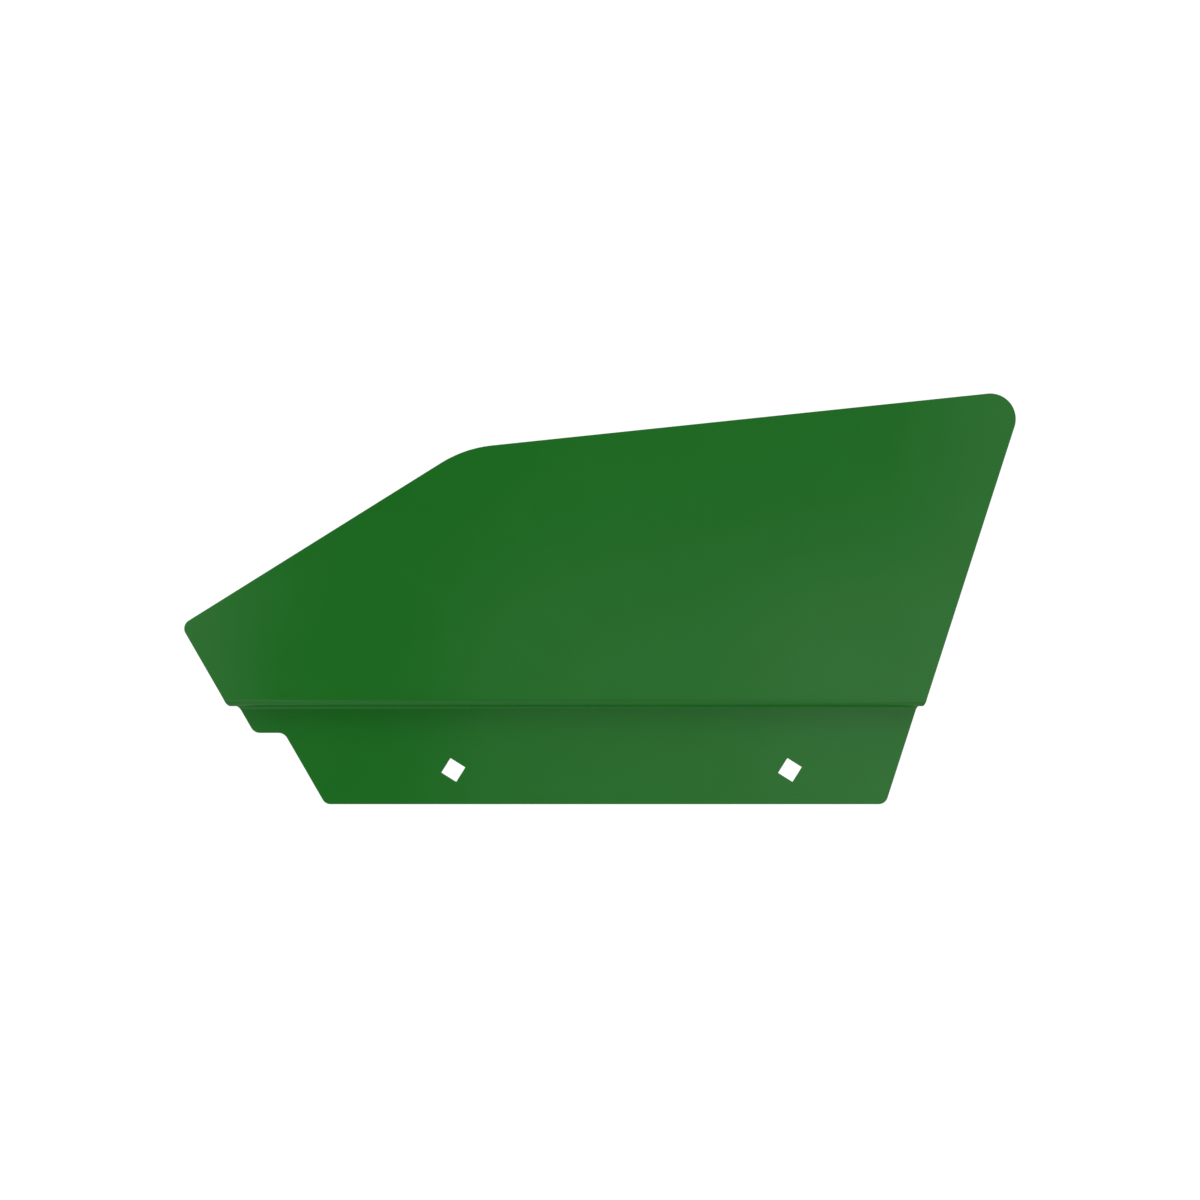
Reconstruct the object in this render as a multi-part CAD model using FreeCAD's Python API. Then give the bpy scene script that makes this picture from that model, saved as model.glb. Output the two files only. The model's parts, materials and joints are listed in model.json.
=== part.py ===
import FreeCAD, Part
import math
import os

from FreeCAD import Placement, Rotation, Vector

# One painted steel plate: a flat blank whose lower edge is a mounting flange with two square
# holes. Two opposite right-angle folds above the flange step the tall panel forward of it.
# Millimetres and degrees. +X runs along the folds, +Z is up and the front faces -Y. The origin
# is on the flange's back face, midway between the two holes.

# The sheet and its two folds.
SHEET = 2.5
FOLD_RADIUS = 2.5             # inside radius
NEUTRAL_FACTOR = 0.44         # depth of the layer that keeps its length, as a share of the sheet
PANEL_OFFSET = 10.0           # from the flange's front face to the panel's front face
HOLES_TO_STEP = 38.35         # from the hole centres up to the underside of the step

# The square holes, for square-neck carriage bolts.
HOLE_PITCH = 200.0
HOLE_SIZE = 10.4              # between the painted sides
HOLE_CORNER_RADIUS = 0.3
HOLE_TURN = -32.0             # anticlockwise as seen from the front

# The blank's lower outline.
HOLES_TO_LOWER_EDGE = 20.2
LEFT_HOLE_TO_CORNER = 75.9
LOWER_EDGE_LENGTH = 332.5
NOTCH_HEIGHT = 42.3           # from the lower edge up to the notch in the left side
NOTCH_WIDTH = 17.8

# The blank's sides and top. Heights are of the folded plate, above the hole centres.
LEFT_EDGE_SLOPE = 60.0        # leans out to the left going up
RIGHT_EDGE_SLOPE = 72.16      # leans out to the right going up
NOSE_HEIGHT = 86.1            # the far left corner
NOSE_SLOPE = 32.0
TOP_CORNER_HEIGHT = 224.5     # the top right corner
TOP_SLOPE = 5.97

# Corner radii of the blank.
LOWER_LEFT_RADIUS = 5.4
LOWER_RIGHT_RADIUS = 5.6
NOTCH_INNER_RADIUS = 6.0
NOTCH_OUTER_RADIUS = 6.0
NOSE_RADIUS = 5.6
KNEE_RADIUS = 70.0            # where the nose edge meets the top edge
TOP_CORNER_RADIUS = 15.0

# How far cutting solids reach past what they cut, and the mismatch that joining closes.
CUT_MARGIN = 0.25
CUT_MARGIN_ANGLE = 1.0
JOIN_TOLERANCE = 0.001

RIGHT_ANGLE = 90.0
FULL_TURN = 360.0
ORIGIN = Vector(0, 0, 0)
X_AXIS = Vector(1, 0, 0)
Y_AXIS = Vector(0, 1, 0)
Z_AXIS = Vector(0, 0, 1)

# These follow from the sizes above.
OUTER_RADIUS = FOLD_RADIUS + SHEET
NEUTRAL_RADIUS = FOLD_RADIUS + NEUTRAL_FACTOR * SHEET
FOLD_LENGTH = NEUTRAL_RADIUS * math.radians(RIGHT_ANGLE)       # of blank in one fold
WEB_LENGTH = PANEL_OFFSET - SHEET - 2 * FOLD_RADIUS            # flat between the two folds
FLANGE_TOP = HOLES_TO_STEP - FOLD_RADIUS
PANEL_BOTTOM = HOLES_TO_STEP + OUTER_RADIUS

# Heights on the flat blank, which is as high as the folded plate up to FLANGE_TOP.
WEB_START = FLANGE_TOP + FOLD_LENGTH
WEB_END = WEB_START + WEB_LENGTH
PANEL_START = WEB_END + FOLD_LENGTH
FOLDED_AWAY = PANEL_START - PANEL_BOTTOM

LOWER_LEFT = -HOLE_PITCH / 2 - LEFT_HOLE_TO_CORNER
LOWER_RIGHT = LOWER_LEFT + LOWER_EDGE_LENGTH


def tangent(slope):
    """Rise over run of a slope in degrees."""
    return math.tan(math.radians(slope))


def left_edge(height):
    """X of the left edge above the notch, at a height on the blank."""
    return LOWER_LEFT - NOTCH_WIDTH - (height + HOLES_TO_LOWER_EDGE) / tangent(LEFT_EDGE_SLOPE)


def right_edge(height):
    """X of the right edge, at a height on the blank."""
    return LOWER_RIGHT + (height + HOLES_TO_LOWER_EDGE) / tangent(RIGHT_EDGE_SLOPE)


def knee(nose, top_corner):
    """Where the nose edge, up from the nose, meets the top edge, down from the top corner."""
    rise = top_corner.z - nose.z - (top_corner.x - nose.x) * tangent(TOP_SLOPE)
    run = rise / (tangent(NOSE_SLOPE) - tangent(TOP_SLOPE))
    return nose + Vector(run, 0, run * tangent(NOSE_SLOPE))


def blank_corners():
    """Each sharp corner of the flat blank with its radius, clockwise from the lower left."""
    bottom = -HOLES_TO_LOWER_EDGE
    notch = bottom + NOTCH_HEIGHT
    nose_height = NOSE_HEIGHT + FOLDED_AWAY
    top_height = TOP_CORNER_HEIGHT + FOLDED_AWAY
    nose = Vector(left_edge(nose_height), 0, nose_height)
    top_corner = Vector(right_edge(top_height), 0, top_height)
    return [
        (Vector(LOWER_LEFT, 0, bottom), LOWER_LEFT_RADIUS),
        (Vector(left_edge(notch) + NOTCH_WIDTH, 0, notch), NOTCH_INNER_RADIUS),
        (Vector(left_edge(notch), 0, notch), NOTCH_OUTER_RADIUS),
        (nose, NOSE_RADIUS),
        (knee(nose, top_corner), KNEE_RADIUS),
        (top_corner, TOP_CORNER_RADIUS),
        (Vector(LOWER_RIGHT, 0, bottom), LOWER_RIGHT_RADIUS),
    ]


def rounded_face(corners):
    """A flat face with straight edges, and an arc of the given radius at each corner."""
    arcs = []
    for index, (corner, radius) in enumerate(corners):
        back = (corners[index - 1][0] - corner).normalize()
        on = (corners[(index + 1) % len(corners)][0] - corner).normalize()
        half_angle = back.getAngle(on) / 2
        run = radius / math.tan(half_angle)
        depth = radius / math.sin(half_angle) - radius
        middle = corner + (back + on).normalize() * depth
        arcs.append((corner + back * run, middle, corner + on * run))
    edges = []
    for index, (start, middle, end) in enumerate(arcs):
        edges.append(Part.makeLine(arcs[index - 1][-1], start))
        edges.append(Part.Arc(start, middle, end).toShape())
    return Part.Face(Part.Wire(edges))


def square_hole(x):
    """Cutter for one square hole through the flange, turned about its own centre."""
    half = HOLE_SIZE / 2
    corners = [(-half, -half), (-half, half), (half, half), (half, -half)]
    face = rounded_face([(Vector(i, 0, j), HOLE_CORNER_RADIUS) for i, j in corners])
    cutter = face.extrude(Y_AXIS * (-SHEET - 2 * CUT_MARGIN))
    cutter.Placement = Placement(Vector(x, CUT_MARGIN, 0), Rotation(-Y_AXIS, HOLE_TURN))
    return cutter


def strip(blank, low, high):
    """The flat blank between two of its heights, with its back face at y = 0."""
    length = blank.BoundBox.XLength + 2 * CUT_MARGIN
    corner = Vector(blank.BoundBox.XMin - CUT_MARGIN, -SHEET, low)
    window = Part.makeBox(length, SHEET, high - low, corner)
    return blank.extrude(Y_AXIS * -SHEET).common(window)


def edge_cutter(slope):
    """What lies past the right edge of a fold that turns about the X axis, from +Y to +Z.

    The edge starts at x = 0. It is straight on the blank, so the fold winds it into a helix.
    """
    lead = math.radians(FULL_TURN) * NEUTRAL_RADIUS / tangent(slope)
    length = lead * (RIGHT_ANGLE + 2 * CUT_MARGIN_ANGLE) / FULL_TURN
    helix = Part.makeHelix(lead, length, NEUTRAL_RADIUS)
    inner = X_AXIS * (FOLD_RADIUS - CUT_MARGIN)
    outer = X_AXIS * (OUTER_RADIUS + CUT_MARGIN)
    reach = Z_AXIS * (length + CUT_MARGIN)
    section = Part.makePolygon([inner, outer, outer + reach, inner + reach, inner])
    cutter = Part.Wire(helix).makePipeShell([section], True, True)
    start = X_AXIS * (-lead * CUT_MARGIN_ANGLE / FULL_TURN)
    turn = Rotation(Y_AXIS, Z_AXIS, X_AXIS) * Rotation(Z_AXIS, -CUT_MARGIN_ANGLE)
    cutter.Placement = Placement(start, turn)
    return cutter


def fold(height):
    """The blank's quarter turn about the X axis, from +Y to +Z, that starts at a height on it."""
    left = edge_cutter(LEFT_EDGE_SLOPE).mirror(ORIGIN, X_AXIS)
    left.translate(X_AXIS * left_edge(height))
    right = edge_cutter(RIGHT_EDGE_SLOPE)
    right.translate(X_AXIS * right_edge(height))
    start = left_edge(height + FOLD_LENGTH) - CUT_MARGIN
    length = right_edge(height + FOLD_LENGTH) + CUT_MARGIN - start
    section = Part.makePlane(length, SHEET, Vector(start, FOLD_RADIUS, 0))
    return section.revolve(ORIGIN, X_AXIS, RIGHT_ANGLE).cut([left, right])


def joggled_plate():
    """The folded plate: flange, lower fold, web, upper fold and panel, joined into one solid."""
    blank = rounded_face(blank_corners())
    flange = strip(blank, blank.BoundBox.ZMin - CUT_MARGIN, FLANGE_TOP)
    flange = flange.cut([square_hole(-HOLE_PITCH / 2), square_hole(HOLE_PITCH / 2)])

    lower_fold = fold(FLANGE_TOP)
    lower_fold.translate(Vector(0, -OUTER_RADIUS, FLANGE_TOP))

    web = strip(blank, WEB_START, WEB_END)
    web.translate(Z_AXIS * -WEB_START)
    web.rotate(ORIGIN, X_AXIS, RIGHT_ANGLE)
    web.translate(Vector(0, -OUTER_RADIUS, HOLES_TO_STEP + SHEET))

    upper_fold = fold(WEB_END).mirror(ORIGIN, Y_AXIS + Z_AXIS)
    upper_fold.translate(Vector(0, -OUTER_RADIUS - WEB_LENGTH, PANEL_BOTTOM))

    panel = strip(blank, PANEL_START, blank.BoundBox.ZMax + CUT_MARGIN)
    panel.translate(Vector(0, -PANEL_OFFSET, -FOLDED_AWAY))

    plate = flange.fuse([lower_fold, web, upper_fold, panel], JOIN_TOLERANCE)
    return plate.removeSplitter()


os.makedirs("parts", exist_ok=True)
joggled_plate().exportStep("parts/joggled_plate.step")
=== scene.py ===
import cmath
import json
import math
from collections import namedtuple

import bmesh
import bpy
import numpy as np
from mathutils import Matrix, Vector, kdtree
from mathutils.geometry import delaunay_2d_cdt


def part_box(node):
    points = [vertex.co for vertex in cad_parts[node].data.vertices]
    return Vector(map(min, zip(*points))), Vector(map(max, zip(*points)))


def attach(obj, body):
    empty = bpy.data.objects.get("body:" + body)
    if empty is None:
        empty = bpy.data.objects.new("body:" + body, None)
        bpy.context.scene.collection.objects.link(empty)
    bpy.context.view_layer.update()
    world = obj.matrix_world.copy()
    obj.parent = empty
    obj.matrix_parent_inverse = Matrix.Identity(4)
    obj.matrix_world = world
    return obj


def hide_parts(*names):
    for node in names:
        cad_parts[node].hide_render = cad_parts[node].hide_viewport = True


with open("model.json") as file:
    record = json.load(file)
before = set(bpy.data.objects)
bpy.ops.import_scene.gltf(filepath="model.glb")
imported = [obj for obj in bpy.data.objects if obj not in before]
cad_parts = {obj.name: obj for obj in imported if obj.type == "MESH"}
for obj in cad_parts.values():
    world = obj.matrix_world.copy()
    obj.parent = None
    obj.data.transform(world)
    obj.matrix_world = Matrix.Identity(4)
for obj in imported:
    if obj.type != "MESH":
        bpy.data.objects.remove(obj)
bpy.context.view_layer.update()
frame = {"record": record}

# A folded, powder-coated steel plate. Metres and degrees, in the CAD frame: +X along the folds,
# +Z up, the front faces -Y, and the origin is on the flange's back face midway between the holes.
# On the flat blank a point is a complex number: X is its real part, and height its imaginary part.

NODE = "joggled_plate"
NODE_LOW, NODE_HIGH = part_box(NODE)
MOUNTS = {mount["name"]: Vector(mount["pos_m"]) for mount in frame["record"]["mounts"]}
HOLES = [MOUNTS["left_bolt_hole"], MOUNTS["right_bolt_hole"]]

# The sheet and its two folds. The holes' mounts lie on the flange's front face.
SHEET = -HOLES[0].y
PANEL_FRONT = NODE_LOW.y
FOLD_RADIUS = 0.0025          # inside
NEUTRAL_FACTOR = 0.44         # depth of the layer that keeps its length, as a share of the sheet
HOLES_TO_STEP = 0.03835       # from the hole centres up to the underside of the step

# The blank's outline.
LOWER_EDGE = NODE_LOW.z
LEFT_HOLE_TO_CORNER = 0.0759
LOWER_EDGE_LENGTH = 0.3325
NOTCH_HEIGHT = 0.0423         # from the lower edge up to the notch in the left side
NOTCH_WIDTH = 0.0178
LEFT_EDGE_SLOPE = 60.0        # leans out to the left going up
RIGHT_EDGE_SLOPE = 72.16      # leans out to the right going up
NOSE_HEIGHT = 0.0861          # the far left corner of the folded plate, above the holes
NOSE_SLOPE = 32.0
TOP_CORNER_HEIGHT = 0.2245    # the top right corner of the folded plate, above the holes
TOP_SLOPE = 5.97
LOWER_LEFT_RADIUS = 0.0054
LOWER_RIGHT_RADIUS = 0.0056
TOP_CORNER_RADIUS = 0.015
KNEE_RADIUS = 0.07            # where the nose edge meets the top edge
NOSE_RADIUS = 0.0056
NOTCH_RADIUS = 0.006

# The square holes.
HOLE_SIZE = 0.0104            # between the painted sides
HOLE_CORNER_RADIUS = 0.0003
HOLE_TURN = -32.0             # anticlockwise as seen from the front

# The mesh.
PIECE = "folded_plate"
EDGE_ROUNDING = 0.0003        # of the cut edges under the paint
EDGE_STEPS = 4                # in each quarter turn of that rounding
FOLD_STEPS = 16               # in each fold
ARC_STEP = 4.0                # of turn between points on a rounded corner, at most
GRID = 0.008                  # between neighbouring rows, and between points on a row, at most
CLEARANCE = 0.4 * GRID        # from the grid's points to those of the outline, at least
SAME_PLACE = 1e-9             # apart, at most, for two points to be one
SLIVER = 1e-10                # square metres; what is smaller only joins points of one straight edge
QUAD_BEND = 1.0               # most that two triangles joined into a quad may bend
QUAD_SKEW = 50.0              # most that such a quad's corners may be off square

# The paint.
PAINT_DARK = (0.0098, 0.130, 0.0128, 1.0)
PAINT_LIGHT = (0.0104, 0.135, 0.0136, 1.0)
PAINT_IOR = 1.5
CLOUD_SIZE = 0.03             # patches of its two colours
CLOUD_DETAIL = 3.0
SMUDGE_SIZE = 0.05            # patches of gloss
GLOSSIEST = 0.11              # roughness
DULLEST = 0.14
PEEL_SIZE = 0.0025            # orange-peel
PEEL_DETAIL = 1.0
PEEL_HEIGHT = 0.000004
GRAIN_SIZE = 0.0007           # a finer grain on top of it
GRAIN_HEIGHT = 0.0000006
NOISE_LOW = 0.3               # smooth noise is nearly all between these
NOISE_HIGH = 0.7

# The camera and the floor.
CAMERA_ANGLE = 45.0           # field of view
CAMERA_DISTANCE = 0.8494      # from the panel's front face
FLOOR_DROP = 0.30             # below the plate's lower edge
FLOOR_RADIUS = 1.2
FLOOR_SIDES = 96
FLOOR_COLOUR = (0.9, 0.9, 0.9, 1.0)

# The studio, as directions from the plate: degrees right of straight ahead and above level. A
# softbox is lit between two turns and two rises, and fades out over the third number of each.
NO_END = 200                  # a limit that no turn or rise reaches
ALL_ROUND = (-NO_END, NO_END, 20)
Softbox = namedtuple("Softbox", "turn rise light")
SOFTBOXES = {
    "left wall": Softbox((-155, -14.0, 3.5), (-38, 60, 20), 0.55),
    "right wall": Softbox((13.2, 155, 3), (-55, 60, 20), 0.36),
    "right haze": Softbox((-2, 155, 6), (-45, 40, 20), 0.09),
    "low left": Softbox((-75, -27, 20), (-50, 13, 20), 1.30),
    "low right": Softbox((27, 75, 20), (-50, 13, 20), 1.38),
    "upper front": Softbox((-60, 60, 30), (45, 78, 16), 1.5),
    "overhead": Softbox(ALL_ROUND, (55, NO_END, 20), 1.1),
    "underneath": Softbox(ALL_ROUND, (-NO_END, -33, 24), 0.35),
    "rear left": Softbox((-150, -100, 20), (-50, 60, 20), 1.0),
    "rear right": Softbox((100, 150, 20), (-50, 60, 20), 1.1),
    "rear top": Softbox(ALL_ROUND, (35, 60, 20), 0.4),
    "low glow": Softbox((-6, 14, 3), (-20, 1.2, 8), 0.28),
    "low right glow": Softbox((6.5, 15, 5), (-40, 1.5, 8), 0.25),
}
AMBIENT = 0.02
BACKDROP = 1.05               # what the camera sees
WHITE = (1.0, 1.0, 1.0, 1.0)

QUARTER_TURN = math.pi / 2    # radians

# These follow from the sizes above.
OUTER_RADIUS = FOLD_RADIUS + SHEET
NEUTRAL_RADIUS = FOLD_RADIUS + NEUTRAL_FACTOR * SHEET
FOLD_LENGTH = NEUTRAL_RADIUS * QUARTER_TURN
WEB_LENGTH = -PANEL_FRONT - 2 * OUTER_RADIUS
FLANGE_TOP = HOLES_TO_STEP - FOLD_RADIUS
PANEL_BOTTOM = HOLES_TO_STEP + OUTER_RADIUS
WEB_START = FLANGE_TOP + FOLD_LENGTH
WEB_END = WEB_START + WEB_LENGTH
PANEL_START = WEB_END + FOLD_LENGTH
FOLDED_AWAY = PANEL_START - PANEL_BOTTOM
LOWER_LEFT = HOLES[0].x - LEFT_HOLE_TO_CORNER
LOWER_RIGHT = LOWER_LEFT + LOWER_EDGE_LENGTH


def spaced(start, end, step):
    """Evenly spaced numbers from start to end, at most a step apart."""
    return np.linspace(start, end, math.ceil((end - start) / step) + 1)


FOLD_ROWS = np.unique(np.concatenate([
    np.linspace(FLANGE_TOP, WEB_START, FOLD_STEPS + 1),
    np.linspace(WEB_END, PANEL_START, FOLD_STEPS + 1),
]))
ROWS = np.concatenate([
    spaced(LOWER_EDGE, FLANGE_TOP, GRID)[:-1],
    FOLD_ROWS,
    spaced(PANEL_START, NODE_HIGH.z + FOLDED_AWAY, GRID)[1:],
])


def tangent(slope):
    """Rise over run of a slope in degrees."""
    return math.tan(math.radians(slope))


def left_edge(height):
    """X of the left edge above the notch, at a height on the blank."""
    return LOWER_LEFT - NOTCH_WIDTH - (height - LOWER_EDGE) / tangent(LEFT_EDGE_SLOPE)


def right_edge(height):
    """X of the right edge, at a height on the blank."""
    return LOWER_RIGHT + (height - LOWER_EDGE) / tangent(RIGHT_EDGE_SLOPE)


def blank_corners():
    """Each sharp corner of the blank with its radius, anticlockwise from the lower left."""
    notch = LOWER_EDGE + NOTCH_HEIGHT
    nose_height = NOSE_HEIGHT + FOLDED_AWAY
    top_height = TOP_CORNER_HEIGHT + FOLDED_AWAY
    nose = complex(left_edge(nose_height), nose_height)
    top_corner = complex(right_edge(top_height), top_height)
    span = top_corner - nose
    run = (span.imag - span.real * tangent(TOP_SLOPE)) / (tangent(NOSE_SLOPE) - tangent(TOP_SLOPE))
    return [
        (complex(LOWER_LEFT, LOWER_EDGE), LOWER_LEFT_RADIUS),
        (complex(LOWER_RIGHT, LOWER_EDGE), LOWER_RIGHT_RADIUS),
        (top_corner, TOP_CORNER_RADIUS),
        (nose + complex(run, run * tangent(NOSE_SLOPE)), KNEE_RADIUS),
        (nose, NOSE_RADIUS),
        (complex(left_edge(notch), notch), NOTCH_RADIUS),
        (complex(left_edge(notch) + NOTCH_WIDTH, notch), NOTCH_RADIUS),
    ]


def hole_corners(centre):
    """Each corner of a square hole with its radius, clockwise, so that the metal is on the left."""
    half = HOLE_SIZE / 2 * cmath.exp(1j * math.radians(HOLE_TURN))
    square = [1 - 1j, -1 - 1j, -1 + 1j, 1 + 1j]
    return [(complex(centre.x, centre.z) + half * corner, HOLE_CORNER_RADIUS) for corner in square]


def straight(start, end):
    """Points between the ends of a straight edge that has the metal on its left.

    On a steep edge they are where insetting them by the rounding puts them on the skin's rows.
    """
    span = end - start
    length = abs(span)
    if abs(span.imag) > abs(span.real):
        lift = EDGE_ROUNDING * span.real / length
        shares = (ROWS - lift - start.imag) / span.imag
    else:
        shares = spaced(0, length, GRID) / length
    margin = CLEARANCE / 2 / length
    shares = np.sort(shares[(shares > margin) & (shares < 1 - margin)])
    return start + shares * span


def rounded_loop(corners):
    """Points round an outline with rounded corners, and the direction out of the metal at each."""
    arcs = []
    for index, (corner, radius) in enumerate(corners):
        before = corner - corners[index - 1][0]
        after = corners[(index + 1) % len(corners)][0] - corner
        turn = cmath.phase(after / before)
        start = corner - before / abs(before) * radius * math.tan(abs(turn) / 2)
        steps = math.ceil(math.degrees(abs(turn)) / ARC_STEP)
        outward = -1j * before / abs(before) * np.exp(1j * turn * np.linspace(0, 1, steps + 1))
        reach = math.copysign(radius, turn)
        arcs.append((start + reach * (outward - outward[0]), outward))
    points = []
    normals = []
    for index, (arc, outward) in enumerate(arcs):
        line = straight(arcs[index - 1][0][-1], arc[0])
        points += [line, arc]
        normals += [np.full(len(line), outward[0]), outward]
    return np.concatenate(points), np.concatenate(normals)


def inside(points, loops):
    """Which points lie on the metal, by how many loop edges a ray to the right of each crosses."""
    within = np.zeros(len(points), bool)
    for loop in loops:
        for start, end in zip(loop, np.roll(loop, -1)):
            if start.imag == end.imag:
                continue
            level = (start.imag > points.imag) != (end.imag > points.imag)
            share = (points.imag - start.imag) / (end.imag - start.imag)
            within ^= level & (points.real < start.real + share * (end.real - start.real))
    return within


def grid_points(loops):
    """Points on the rows, in even columns, that are on the metal and clear of its edges."""
    edge = np.concatenate(loops)
    tree = kdtree.KDTree(len(edge))
    for index, point in enumerate(edge):
        tree.insert((point.real, point.imag, 0), index)
    tree.balance()
    columns = spaced(NODE_LOW.x, NODE_HIGH.x, GRID)
    points = (columns[None, :] + 1j * ROWS[:, None]).ravel()
    points = points[inside(points, loops)]
    clear = [tree.find((point.real, point.imag, 0))[2] > CLEARANCE for point in points]
    return points[np.array(clear)]


def ring_edges(start, count):
    """Index pairs that close a run of points into a ring."""
    return [(start + index, start + (index + 1) % count) for index in range(count)]


def row_edges(points, height):
    """Index pairs that join neighbouring points on a row of the blank."""
    row = np.flatnonzero(np.isclose(points.imag, height, rtol=0, atol=SAME_PLACE))
    row = row[np.argsort(points.real[row])].tolist()
    return list(zip(row[:-1], row[1:]))


def flat_skin(loops):
    """Points and triangles that fill the blank, whose rows keep the bends of the folds smooth."""
    points = np.concatenate(loops + [grid_points(loops)])
    edges = []
    start = 0
    for loop in loops:
        edges += ring_edges(start, len(loop))
        start += len(loop)
    for height in FOLD_ROWS:
        edges += row_edges(points, height)
    flat = [Vector((point.real, point.imag)) for point in points]
    triangles = np.array(delaunay_2d_cdt(flat, edges, [], 0, SAME_PLACE)[2])
    corners = points[triangles]
    sides = corners[:, 1:] - corners[:, :1]
    area = (sides[:, 0].conj() * sides[:, 1]).imag / 2
    return points, triangles[inside(corners.mean(axis=1), loops) & (area > SLIVER)]


def folded(points, depths, outward, facing):
    """Places and normals on the folded plate of points on the blank, each at a depth in the sheet.

    A normal comes as two parts: outward, in the plane of the blank, and facing, along the depth.
    """
    height = points.imag
    lower = np.clip((height - FLANGE_TOP) / NEUTRAL_RADIUS, 0, QUARTER_TURN)
    upper = np.clip((height - WEB_END) / NEUTRAL_RADIUS, 0, QUARTER_TURN)
    along_web = np.clip(height - WEB_START, 0, WEB_LENGTH)
    forward = SHEET + FOLD_RADIUS * (1 - np.cos(lower)) + along_web + OUTER_RADIUS * np.sin(upper)
    flat_rise = np.minimum(height, FLANGE_TOP) + np.maximum(height - PANEL_START, 0)
    rise = flat_rise + FOLD_RADIUS * np.sin(lower) + OUTER_RADIUS * (1 - np.cos(upper))
    across = np.cos(lower - upper)
    along = np.sin(lower - upper)
    places = np.stack([points.real, depths * across - forward, depths * along + rise], axis=1)
    normals = np.stack([
        outward.real,
        facing * across - outward.imag * along,
        facing * along + outward.imag * across,
    ], axis=1)
    return places, normals


def rim_rings():
    """Inset, depth and angle of the rings round the cut edge, from the front skin to the back."""
    angle = np.linspace(0, QUARTER_TURN, EDGE_STEPS + 1)
    inset = EDGE_ROUNDING * (1 - np.sin(angle))
    depth = EDGE_ROUNDING * (1 - np.cos(angle))
    front = zip(inset, depth, angle)
    back = zip(inset[::-1], SHEET - depth[::-1], math.pi - angle[::-1])
    return [*front, *back]


def layer(points, depth, outward, facing):
    """Points on the blank at one depth, with the two parts of their normals."""
    count = len(points)
    return points, np.full(count, depth), outward, np.full(count, facing)


def layers(skin, edge, edge_outward):
    """The front skin, the back skin and the rim's rings between them, ready to be folded."""
    no_tilt = np.zeros(len(skin))
    found = [layer(skin, 0.0, no_tilt, -1.0), layer(skin, SHEET, no_tilt, 1.0)]
    for inset, depth, angle in rim_rings()[1:-1]:
        ring = edge - edge_outward * inset
        found.append(layer(ring, depth, edge_outward * math.sin(angle), -math.cos(angle)))
    return [np.concatenate(part) for part in zip(*found)]


def rim_faces(loops, skin_count):
    """Index quads that join the rim's rings, from the front skin's edge to the back skin's.

    Each skin starts with its own edge points, and the rings between follow the two skins.
    """
    following = []
    for loop in loops:
        following += [pair[1] for pair in ring_edges(len(following), len(loop))]
    count = len(following)
    between = [2 * skin_count + count * index for index in range(len(rim_rings()) - 2)]
    rings = [np.arange(start, start + count) for start in [0, *between, skin_count]]
    faces = []
    for front, back in zip(rings, rings[1:]):
        faces += np.stack([front, back, back[following], front[following]], axis=1).tolist()
    return faces


def plate_mesh():
    """The folded plate as one closed mesh: two skins joined by a rounded rim round each outline."""
    holes = [rounded_loop(hole_corners(centre)) for centre in HOLES]
    loops, outward = zip(rounded_loop(blank_corners()), *holes)
    edge = np.concatenate(loops)
    edge_outward = np.concatenate(outward)
    skin, triangles = flat_skin([loop - out * EDGE_ROUNDING for loop, out in zip(loops, outward)])
    places, normals = folded(*layers(skin, edge, edge_outward))
    back_triangles = triangles[:, ::-1] + len(skin)
    faces = triangles.tolist() + back_triangles.tolist() + rim_faces(loops, len(skin))

    mesh = bpy.data.meshes.new(PIECE)
    mesh.from_pydata(places.tolist(), [], faces)
    pair_triangles(mesh)
    mesh.shade_smooth()
    mesh.normals_split_custom_set_from_vertices(normals.tolist())
    return mesh


def pair_triangles(mesh):
    """Join neighbouring triangles into quads where that gives a well-shaped face."""
    work = bmesh.new()
    work.from_mesh(mesh)
    bmesh.ops.join_triangles(
        work,
        faces=work.faces[:],
        angle_face_threshold=math.radians(QUAD_BEND),
        angle_shape_threshold=math.radians(QUAD_SKEW),
    )
    work.to_mesh(mesh)
    work.free()


def set_inputs(node, **values):
    """Set a shader node's inputs by name, written with underscores for spaces."""
    for name, value in values.items():
        node.inputs[name.replace("_", " ")].default_value = value


def noise(tree, coordinates, size, detail):
    """Smooth noise between 0 and 1, with features of about a size in metres."""
    node = tree.nodes.new("ShaderNodeTexNoise")
    set_inputs(node, Scale=1 / size, Detail=detail)
    tree.links.new(coordinates, node.inputs["Vector"])
    return node.outputs["Fac"]


def mapped(tree, value, low, high):
    """A noise value stretched to a range."""
    node = tree.nodes.new("ShaderNodeMapRange")
    set_inputs(node, From_Min=NOISE_LOW, From_Max=NOISE_HIGH, To_Min=low, To_Max=high)
    tree.links.new(value, node.inputs["Value"])
    return node.outputs["Result"]


def bumped(tree, height, distance, normal):
    """A normal tilted by a height texture, on top of another bump's normal if there is one."""
    node = tree.nodes.new("ShaderNodeBump")
    set_inputs(node, Strength=1.0, Distance=distance)
    tree.links.new(height, node.inputs["Height"])
    if normal:
        tree.links.new(normal, node.inputs["Normal"])
    return node.outputs["Normal"]


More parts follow.
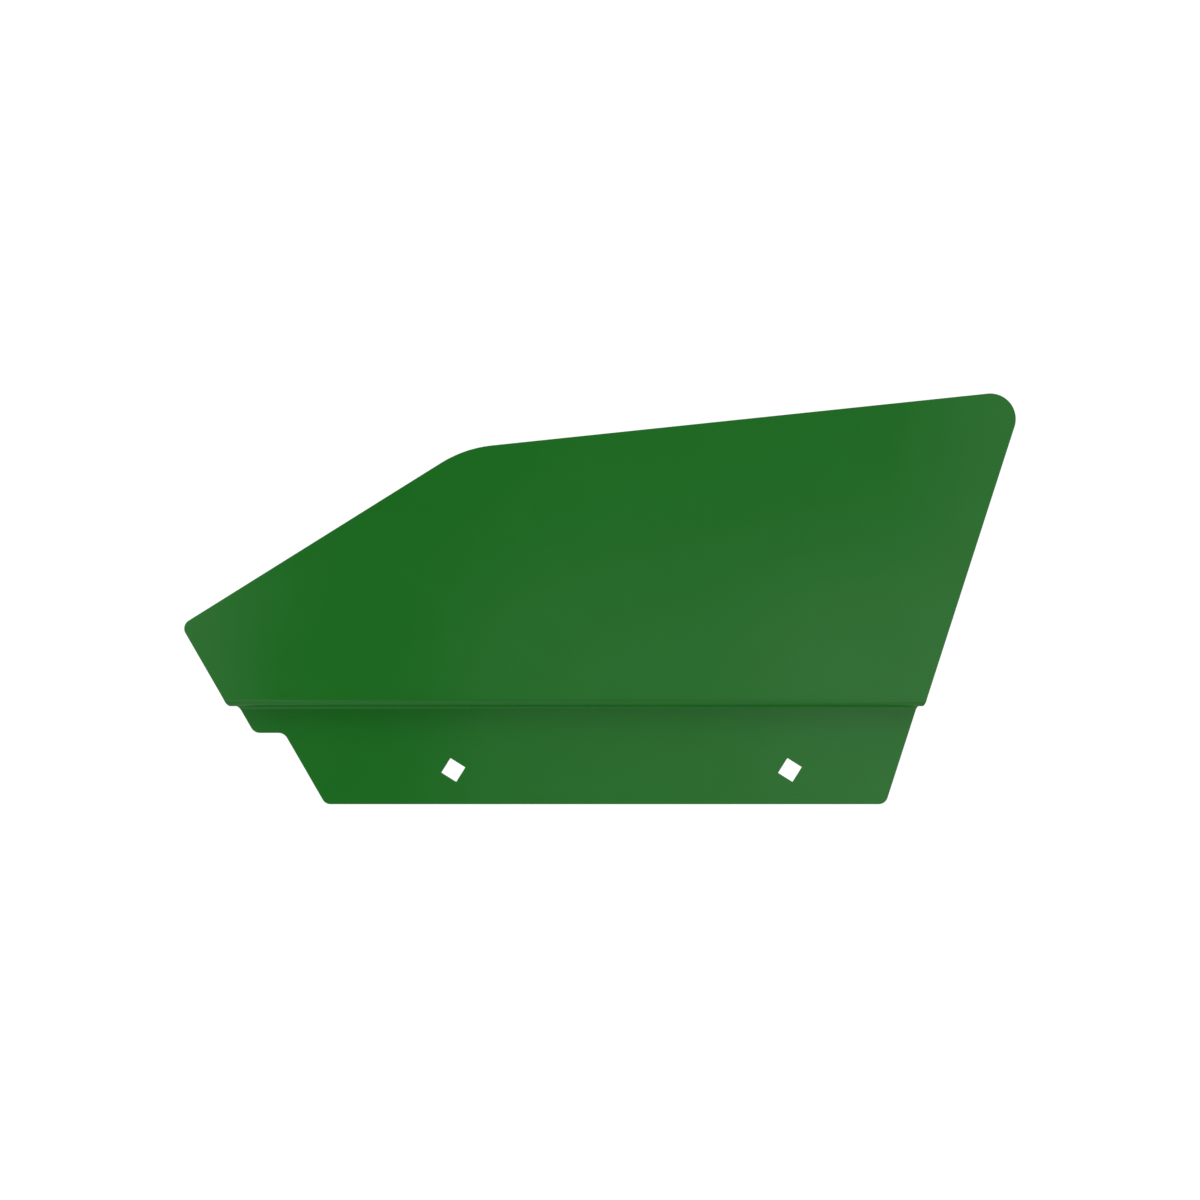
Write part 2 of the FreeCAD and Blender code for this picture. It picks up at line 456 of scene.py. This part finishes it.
def green_paint():
    """Semi-gloss green powder coat, with its faint orange-peel and cloudy pigment."""
    material = bpy.data.materials.new("green_paint")
    material.use_nodes = True
    tree = material.node_tree
    paint = tree.nodes["Principled BSDF"]
    place = tree.nodes.new("ShaderNodeTexCoord").outputs["Object"]

    colour = tree.nodes.new("ShaderNodeMix")
    colour.data_type = "RGBA"
    colour.inputs["A"].default_value = PAINT_DARK
    colour.inputs["B"].default_value = PAINT_LIGHT
    clouds = noise(tree, place, CLOUD_SIZE, CLOUD_DETAIL)
    tree.links.new(mapped(tree, clouds, 0, 1), colour.inputs["Factor"])
    tree.links.new(colour.outputs["Result"], paint.inputs["Base Color"])

    smudges = noise(tree, place, SMUDGE_SIZE, CLOUD_DETAIL)
    tree.links.new(mapped(tree, smudges, GLOSSIEST, DULLEST), paint.inputs["Roughness"])

    peel = noise(tree, place, PEEL_SIZE, PEEL_DETAIL)
    grain = noise(tree, place, GRAIN_SIZE, PEEL_DETAIL)
    normal = bumped(tree, peel, PEEL_HEIGHT, None)
    normal = bumped(tree, grain, GRAIN_HEIGHT, normal)
    tree.links.new(normal, paint.inputs["Normal"])
    set_inputs(paint, IOR=PAINT_IOR)
    return material


def plate():
    """The folded plate, in place of its CAD node."""
    mesh = plate_mesh()
    mesh.materials.append(green_paint())
    piece = bpy.data.objects.new(PIECE, mesh)
    bpy.context.scene.collection.objects.link(piece)
    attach(piece, "root")
    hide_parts(NODE)


def floor():
    """A plain pale disc below the plate, which gets no light, shadow or reflection from it."""
    work = bmesh.new()
    bmesh.ops.create_circle(work, cap_ends=True, radius=FLOOR_RADIUS, segments=FLOOR_SIDES)
    mesh = bpy.data.meshes.new("floor")
    work.to_mesh(mesh)
    work.free()
    material = bpy.data.materials.new("floor")
    material.use_nodes = True
    set_inputs(material.node_tree.nodes["Principled BSDF"], Base_Color=FLOOR_COLOUR, Roughness=1.0)
    mesh.materials.append(material)
    disc = bpy.data.objects.new("floor", mesh)
    disc.location.z = NODE_LOW.z - FLOOR_DROP
    disc.visible_glossy = False
    disc.visible_diffuse = False
    disc.visible_shadow = False
    bpy.context.scene.collection.objects.link(disc)


def math_node(tree, operation, first, second=None):
    """The result of a Math node on one or two values, each a number or a socket."""
    node = tree.nodes.new("ShaderNodeMath")
    node.operation = operation
    for value, socket in zip((first, second), node.inputs):
        if isinstance(value, bpy.types.NodeSocket):
            tree.links.new(value, socket)
        elif value is not None:
            socket.default_value = value
    return node.outputs["Value"]


def ramp(tree, angle, start, end):
    """A smooth step from 0 to 1 as an angle goes from start to end, in degrees."""
    node = tree.nodes.new("ShaderNodeMapRange")
    node.interpolation_type = "SMOOTHSTEP"
    set_inputs(node, From_Min=math.radians(start), From_Max=math.radians(end))
    tree.links.new(angle, node.inputs["Value"])
    return node.outputs["Result"]


def window(tree, angle, low, high, softness):
    """1 where an angle is between two limits, fading to 0 over the softness at each."""
    half = softness / 2
    rise = ramp(tree, angle, low - half, low + half)
    fall = ramp(tree, angle, high - half, high + half)
    return math_node(tree, "SUBTRACT", rise, fall)


def studio():
    """White to the camera. To the plate, a dim room with the softboxes listed above."""
    world = bpy.data.worlds.new("studio")
    bpy.context.scene.world = world
    world.use_nodes = True
    tree = world.node_tree
    direction = tree.nodes.new("ShaderNodeTexCoord").outputs["Generated"]
    split = tree.nodes.new("ShaderNodeSeparateXYZ")
    tree.links.new(direction, split.inputs["Vector"])
    x, y, z = split.outputs
    turn = math_node(tree, "ARCTAN2", x, math_node(tree, "MULTIPLY", y, -1))
    rise = math_node(tree, "ARCSINE", z)

    light = AMBIENT
    for softbox in SOFTBOXES.values():
        wide = window(tree, turn, *softbox.turn)
        tall = window(tree, rise, *softbox.rise)
        shape = math_node(tree, "MULTIPLY", wide, tall)
        light = math_node(tree, "ADD", light, math_node(tree, "MULTIPLY", shape, softbox.light))
    seen = tree.nodes.new("ShaderNodeLightPath").outputs["Is Camera Ray"]
    light = math_node(tree, "MAXIMUM", light, math_node(tree, "MULTIPLY", seen, BACKDROP))
    tree.links.new(light, tree.nodes["Background"].inputs["Strength"])
    tree.nodes["Background"].inputs["Color"].default_value = WHITE
    bpy.context.scene.view_settings.view_transform = "Standard"


def camera():
    """Square on to the front, with the plate's middle in the middle of the picture."""
    data = bpy.data.cameras.new("camera")
    data.angle = math.radians(CAMERA_ANGLE)
    middle = (NODE_LOW + NODE_HIGH) / 2
    lens = bpy.data.objects.new("camera", data)
    lens.location = (middle.x, PANEL_FRONT - CAMERA_DISTANCE, middle.z)
    lens.rotation_euler.x = QUARTER_TURN
    bpy.context.scene.collection.objects.link(lens)
    bpy.context.scene.camera = lens


plate()
floor()
studio()
camera()
